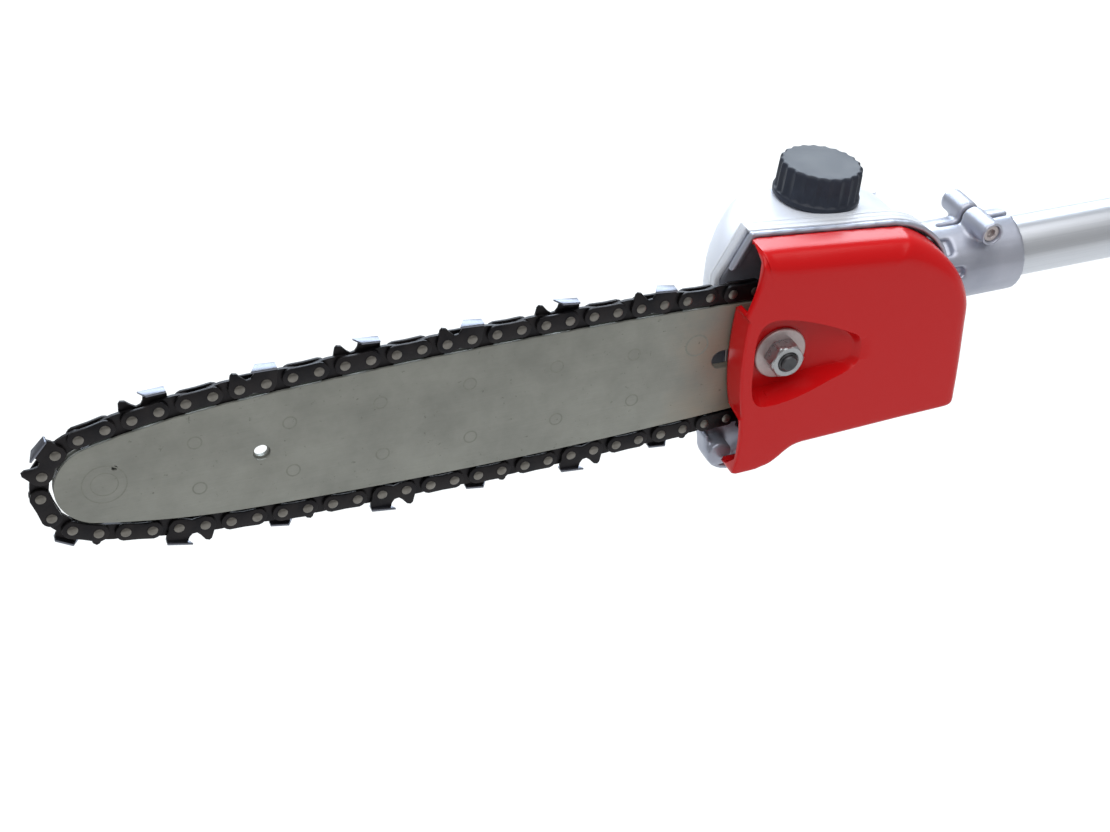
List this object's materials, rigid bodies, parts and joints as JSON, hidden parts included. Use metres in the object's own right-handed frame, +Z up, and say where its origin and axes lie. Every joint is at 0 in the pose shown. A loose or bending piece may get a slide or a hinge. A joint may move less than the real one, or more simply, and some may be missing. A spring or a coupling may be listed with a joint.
{
  "type": "telescoping pole saw",
  "caption": "Chain-saw head with guide bar, red chain cover, white oil tank and bevel gear case, clamped on a two-stage telescoping aluminium pole with a cam lock.",
  "frame": {"origin": "centre of the pole's butt end, on the pole axis", "axes": "+X along the pole from the bar nose towards the butt, +Z up across the bar, -Y towards the bar and chain cover"},
  "size_m": [0.9857, 0.076, 0.1197],
  "materials": {
    "cast_aluminium": "bead-blasted casting",
    "tube_aluminium": "satin",
    "red_plastic": "gloss",
    "black_plastic": "satin",
    "tank_plastic": "translucent white",
    "bar_steel": "matte grey-green, stained",
    "chain_steel": "blued, oily",
    "steel": "machined",
    "dark_steel": "hardened",
    "zinc": "zinc plated",
    "bronze": "sintered",
    "rubber": "matt"
  },
  "bodies": {
    "pole": {"outer_tube": "tube_aluminium", "lower_shaft_bushing": "bronze", "lock_collar": "black_plastic", "clamp_bolt": "zinc", "lever_pin": "zinc"},
    "lock_lever": {"lock_lever": "red_plastic"},
    "lower_shaft": {"lower_drive_shaft": "dark_steel"},
    "head": {"inner_tube": "tube_aluminium", "tube_guide": "black_plastic", "upper_shaft_bushing": "bronze", "gear_case": "cast_aluminium", "gear_case_lid": "cast_aluminium", "lid_screw_1": "zinc", "lid_screw_2": "zinc", "lid_screw_3": "zinc", "lid_screw_4": "zinc", "clamp_screw": "zinc", "locating_screw": "zinc", "bar_stud": "dark_steel", "guide_plate": "zinc", "output_bearing_near": "steel", "output_bearing_far": "steel", "pinion_bearing_1": "steel", "pinion_bearing_2": "steel", "oil_tank": "tank_plastic", "pickup_filter": "bronze", "oil_line": "rubber", "oil_pump": "zinc", "saw_chain": "chain_steel"},
    "upper_shaft": {"upper_drive_shaft": "steel", "pinion_gear": "dark_steel"},
    "output": {"output_shaft": "steel", "bevel_gear": "dark_steel", "drive_sprocket": "dark_steel", "sprocket_washer": "zinc", "retaining_clip": "dark_steel"},
    "pump": {"pump_plunger": "dark_steel"},
    "bar": {"bar_plate_near": "bar_steel", "bar_plate_far": "bar_steel", "bar_core": "bar_steel", "nose_race": "steel"},
    "nose_sprocket": {"nose_sprocket": "dark_steel"},
    "tension_screw": {"tension_screw": "zinc"},
    "tension_block": {"tension_block": "dark_steel"},
    "cap_seal": {"cap_gasket": "rubber"},
    "oil_cap": {"oil_cap": "black_plastic"},
    "cover": {"chain_cover": "red_plastic", "cover_washer": "zinc"},
    "cover_nut": {"cover_nut": "steel"}
  },
  "joints": [
    {"name": "telescope", "type": "slide", "parent": "pole", "child": "head", "axis": [-1, 0, 0], "range_m": [0, 0.26]},
    {"name": "lever_fold", "type": "hinge", "parent": "pole", "child": "lock_lever", "pos_m": [-0.462, -0.0175, 0.023], "axis": [0, 0, -1], "range_deg": [0, 115]},
    {"name": "lower_shaft_spin", "type": "hinge", "parent": "pole", "child": "lower_shaft", "pos_m": [-0.2, 0, 0], "axis": [1, 0, 0], "continuous": true},
    {"name": "upper_shaft_spin", "type": "hinge", "parent": "head", "child": "upper_shaft", "pos_m": [-0.6, 0, 0], "axis": [1, 0, 0], "continuous": true},
    {"name": "output_spin", "type": "hinge", "parent": "head", "child": "output", "pos_m": [-0.65659, -0.037, 0], "axis": [0, 1, 0], "continuous": true},
    {"name": "pump_spin", "type": "hinge", "parent": "head", "child": "pump", "pos_m": [-0.65, -0.017, -0.033], "axis": [1, 0, 0], "continuous": true},
    {"name": "bar_adjust", "type": "slide", "parent": "head", "child": "bar", "axis": [1, 0, 0], "range_m": [0, 0.005]},
    {"name": "nose_spin", "type": "hinge", "parent": "bar", "child": "nose_sprocket", "pos_m": [-0.96, -0.037, 0], "axis": [0, 1, 0], "continuous": true},
    {"name": "tension_screw_turn", "type": "hinge", "parent": "head", "child": "tension_screw", "pos_m": [-0.705, -0.0293, -0.013], "axis": [1, 0, 0], "range_deg": [0, 2260]},
    {"name": "tension_block_slide", "type": "slide", "parent": "head", "child": "tension_block", "axis": [1, 0, 0], "range_m": [0, 0.005]},
    {"name": "cap_lift", "type": "slide", "parent": "head", "child": "cap_seal", "axis": [0.0958, 0, 0.9954], "range_m": [0, 0.012]},
    {"name": "cap_turn", "type": "hinge", "parent": "cap_seal", "child": "oil_cap", "pos_m": [-0.6687, -0.007, 0.0462], "axis": [0.0958, 0, 0.9954], "range_deg": [0, 1082]},
    {"name": "cover_lift", "type": "slide", "parent": "head", "child": "cover", "axis": [0, -1, 0], "range_m": [0, 0.045]},
    {"name": "cover_nut_turn", "type": "hinge", "parent": "cover", "child": "cover_nut", "pos_m": [-0.6973, -0.046, 0], "axis": [0, -1, 0], "range_deg": [0, 12970]}
  ],
  "couplings": [
    {"joint": "lower_shaft_spin", "follows": "output_spin", "ratio": 1.3077},
    {"joint": "upper_shaft_spin", "follows": "output_spin", "ratio": 1.3077},
    {"joint": "nose_spin", "follows": "output_spin", "ratio": 1},
    {"joint": "pump_spin", "follows": "output_spin", "ratio": 0.083333},
    {"joint": "tension_screw_turn", "follows": "bar_adjust", "rad_per_m": 7854},
    {"joint": "tension_block_slide", "follows": "bar_adjust", "ratio": 1},
    {"joint": "cap_turn", "follows": "cap_lift", "rad_per_m": 1570.8},
    {"joint": "cover_nut_turn", "follows": "cover_lift", "rad_per_m": 5026.5}
  ]
}
